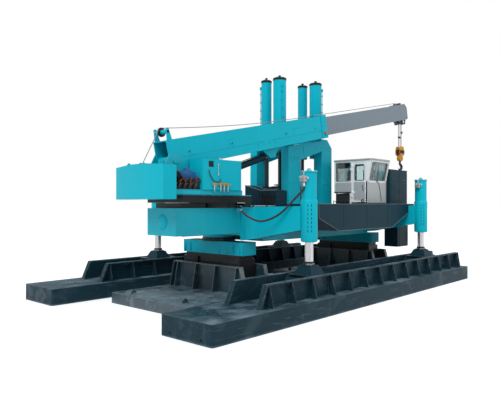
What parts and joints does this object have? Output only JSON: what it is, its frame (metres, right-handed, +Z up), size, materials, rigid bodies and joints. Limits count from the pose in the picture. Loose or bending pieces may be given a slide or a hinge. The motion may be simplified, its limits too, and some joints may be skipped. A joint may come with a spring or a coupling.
{
  "type": "hydraulic press-in pile driver",
  "caption": "Walking press-in pile driver: long and short boats carry a platform with leg lifts, a press frame over a pile well, a cab and a slewing telescopic crane.",
  "frame": {"origin": "on the ground, at the centre of the footprint", "axes": "+X towards the cab end, +Y towards the side away from the cab, +Z up"},
  "size_m": [14.35, 8.29, 7.5],
  "materials": {
    "teal_paint": "satin",
    "slate_paint": "satin, worn",
    "navy_paint": "satin",
    "grey_paint": "satin",
    "white_paint": "satin",
    "yellow_paint": "satin",
    "black_paint": "matt",
    "chrome": "polished",
    "seat_cloth": "woven",
    "black_rubber": "matt"
  },
  "bodies": {
    "platform": {"platform": "teal_paint", "near_side_tray": "navy_paint", "far_side_tray": "navy_paint", "near_left_leg": "teal_paint", "near_left_pillar": "teal_paint", "near_left_press_cylinder": "teal_paint", "near_right_leg": "teal_paint", "near_right_pillar": "teal_paint", "near_right_press_cylinder": "teal_paint", "far_left_leg": "teal_paint", "far_left_pillar": "teal_paint", "far_left_press_cylinder": "teal_paint", "far_right_leg": "teal_paint", "far_right_pillar": "teal_paint", "far_right_press_cylinder": "teal_paint", "press_top_frame": "teal_paint", "left_top_beam": "teal_paint", "cab_shell": "white_paint", "operator_seat": "seat_cloth", "equipment_cabinet": "navy_paint", "power_pack": "navy_paint", "rear_tank": "navy_paint", "valve_stand": "navy_paint", "slew_ring": "black_paint", "leg_hose": "black_rubber"},
    "near_lift": {"near_left_leg_rod": "chrome", "near_right_leg_rod": "chrome", "near_left_trolley": "navy_paint", "near_right_trolley": "navy_paint"},
    "near_long_boat": {"near_boat_hull": "slate_paint", "near_boat_outer_wall": "slate_paint", "near_boat_inner_wall": "slate_paint"},
    "far_lift": {"far_left_leg_rod": "chrome", "far_right_leg_rod": "chrome", "far_left_trolley": "navy_paint", "far_right_trolley": "navy_paint"},
    "far_long_boat": {"far_boat_hull": "slate_paint", "far_boat_outer_wall": "slate_paint", "far_boat_inner_wall": "slate_paint"},
    "left_carriage": {"left_carriage": "teal_paint", "left_bogies": "navy_paint"},
    "left_short_boat": {"left_short_boat": "slate_paint"},
    "right_carriage": {"right_carriage": "teal_paint", "right_bogies": "navy_paint"},
    "right_short_boat": {"right_short_boat": "slate_paint"},
    "press_clamp": {"press_clamp": "navy_paint"},
    "crane_upper": {"crane_frame": "teal_paint", "counterweight": "teal_paint", "crane_tank": "teal_paint", "crane_cooler": "navy_paint", "crane_motor_unit": "black_paint", "winch_drum": "navy_paint"},
    "boom": {"boom_base": "teal_paint", "luff_bracket": "teal_paint"},
    "boom_tip": {"boom_slide": "grey_paint", "boom_head": "grey_paint"},
    "luff_barrel": {"luff_barrel": "navy_paint"},
    "luff_rod": {"luff_rod": "chrome"},
    "hook": {"hook_block": "yellow_paint"},
    "cab_door": {"cab_door": "white_paint"}
  },
  "joints": [
    {"name": "near_lift_stroke", "type": "slide", "parent": "platform", "child": "near_lift", "axis": [0, 0, 1], "range_m": [-0.5, 0.5]},
    {"name": "near_boat_walk", "type": "slide", "parent": "near_lift", "child": "near_long_boat", "axis": [1, 0, 0], "range_m": [-1.6, 1.9]},
    {"name": "far_lift_stroke", "type": "slide", "parent": "platform", "child": "far_lift", "axis": [0, 0, 1], "range_m": [-0.5, 0.5]},
    {"name": "far_boat_walk", "type": "slide", "parent": "far_lift", "child": "far_long_boat", "axis": [1, 0, 0], "range_m": [-1.6, 1.9]},
    {"name": "left_carriage_turn", "type": "hinge", "parent": "platform", "child": "left_carriage", "pos_m": [-2.975, 0, 1.9], "axis": [0, 0, 1], "range_deg": [-8, 8]},
    {"name": "left_boat_shift", "type": "slide", "parent": "left_carriage", "child": "left_short_boat", "axis": [0, 1, 0], "range_m": [-0.35, 0.35]},
    {"name": "right_carriage_turn", "type": "hinge", "parent": "platform", "child": "right_carriage", "pos_m": [4.425, 0, 1.9], "axis": [0, 0, 1], "range_deg": [-8, 8]},
    {"name": "right_boat_shift", "type": "slide", "parent": "right_carriage", "child": "right_short_boat", "axis": [0, 1, 0], "range_m": [-0.35, 0.35]},
    {"name": "press_stroke", "type": "slide", "parent": "platform", "child": "press_clamp", "axis": [0, 0, 1], "range_m": [-1.6, 0]},
    {"name": "crane_slew", "type": "hinge", "parent": "platform", "child": "crane_upper", "pos_m": [-3.875, -0.7, 2.945], "axis": [0, 0, 1], "range_deg": [-180, 0]},
    {"name": "boom_luff", "type": "hinge", "parent": "crane_upper", "child": "boom", "pos_m": [-5.472, -0.6023, 4.05], "axis": [-0.0611, -0.9981, 0], "range_deg": [0, 60]},
    {"name": "boom_telescope", "type": "slide", "parent": "boom", "child": "boom_tip", "axis": [0.976, -0.0597, 0.2093], "range_m": [-2.9, 1.2]},
    {"name": "luff_barrel_swing", "type": "hinge", "parent": "crane_upper", "child": "luff_barrel", "pos_m": [-3.875, -0.7, 3.7], "axis": [-0.0611, -0.9981, 0], "range_deg": [0, 72]},
    {"name": "luff_rod_stroke", "type": "slide", "parent": "luff_barrel", "child": "luff_rod", "axis": [0.9473, -0.0579, 0.315], "range_m": [0, 1.515]},
    {"name": "hook_swing", "type": "hinge", "parent": "boom_tip", "child": "hook", "pos_m": [6.4794, -1.3333, 6.3978], "axis": [-0.0611, -0.9981, 0], "range_deg": [-60, 0]},
    {"name": "cab_door_swing", "type": "hinge", "parent": "platform", "child": "cab_door", "pos_m": [1.743, -1.89, 3.6], "axis": [0, 0, -1], "range_deg": [0, 100]}
  ],
  "couplings": [
    {"joint": "luff_barrel_swing", "follows": "boom_luff", "ratio": 1.1933},
    {"joint": "luff_rod_stroke", "follows": "boom_luff", "m_per_rad": 1.4417},
    {"joint": "hook_swing", "follows": "boom_luff", "ratio": -1}
  ]
}
